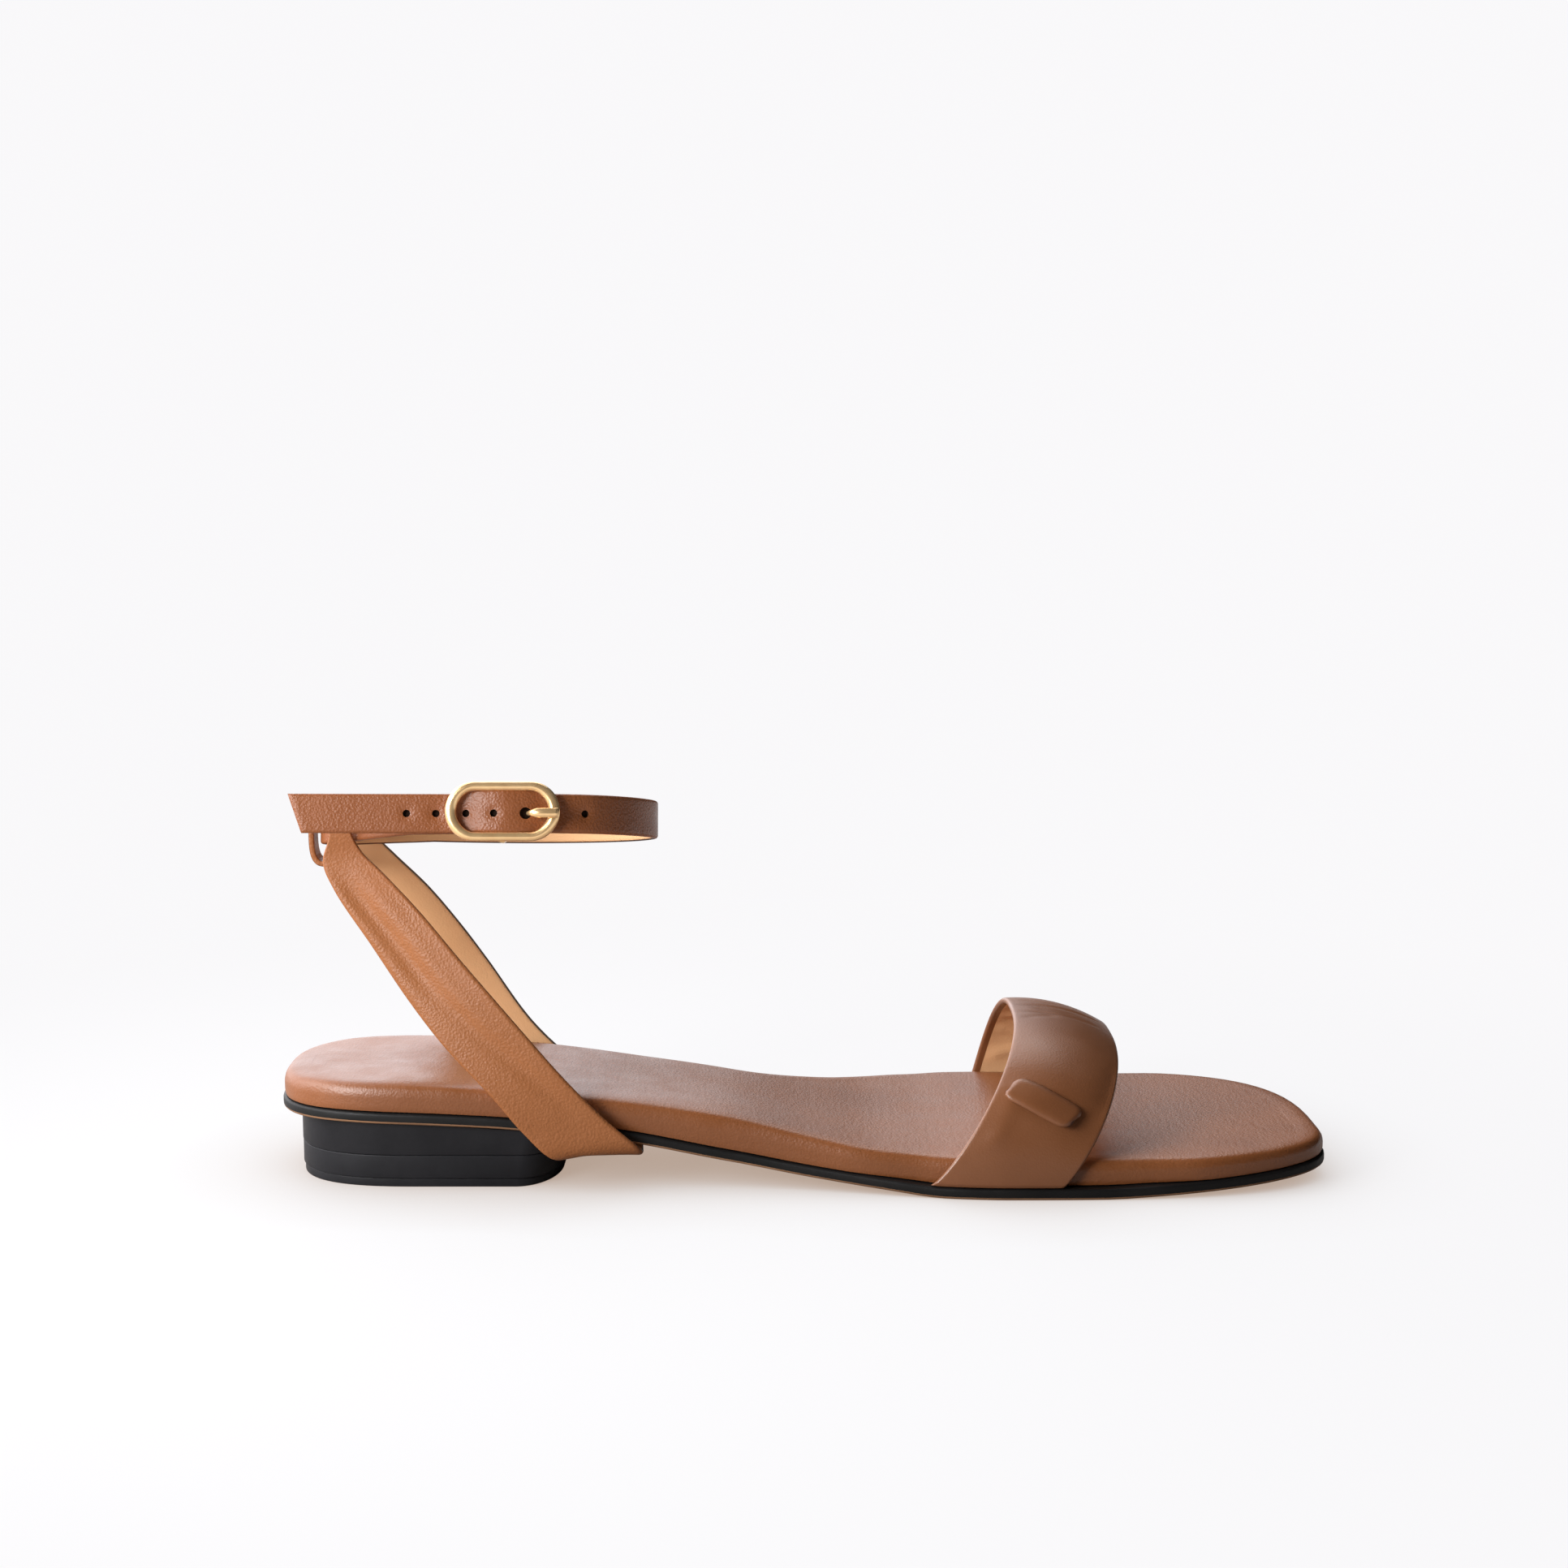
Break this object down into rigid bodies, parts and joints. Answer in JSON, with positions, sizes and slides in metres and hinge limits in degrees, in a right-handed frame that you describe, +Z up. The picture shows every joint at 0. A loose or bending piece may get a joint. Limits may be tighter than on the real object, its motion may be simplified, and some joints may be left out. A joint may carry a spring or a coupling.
{
  "type": "flat sandal",
  "caption": "Flat leather ankle-strap sandal for a right foot, with a wide toe band, a heel sling, a low stacked heel and a gold buckle",
  "frame": {"origin": "middle of the sandal's box on the floor plane, under the sole", "axes": "+X from heel to toe, +Y from the outer side to the inner side of the foot, +Z up from the floor"},
  "size_m": [0.2496, 0.0896, 0.0962],
  "materials": {
    "upper_leather": "fine-grained chestnut brown leather, satin, with a tan lining",
    "footbed_leather": "smooth satin brown leather wrapped over the footbed",
    "sole": "satin black sole edge with a thin tan line at the floor",
    "heel": "matte charcoal black stacked heel",
    "gold_metal": "polished pale gold plating"
  },
  "bodies": {
    "root": {"outsole": "sole", "footbed": "footbed_leather", "heel_block": "heel", "heel_lift": "heel", "heel_top_piece": "heel", "toe_band": "upper_leather", "band_tab": "upper_leather", "heel_sling": "upper_leather", "ankle_strap": "upper_leather", "buckle_frame": "gold_metal", "buckle_prong": "gold_metal"}
  },
  "joints": []
}
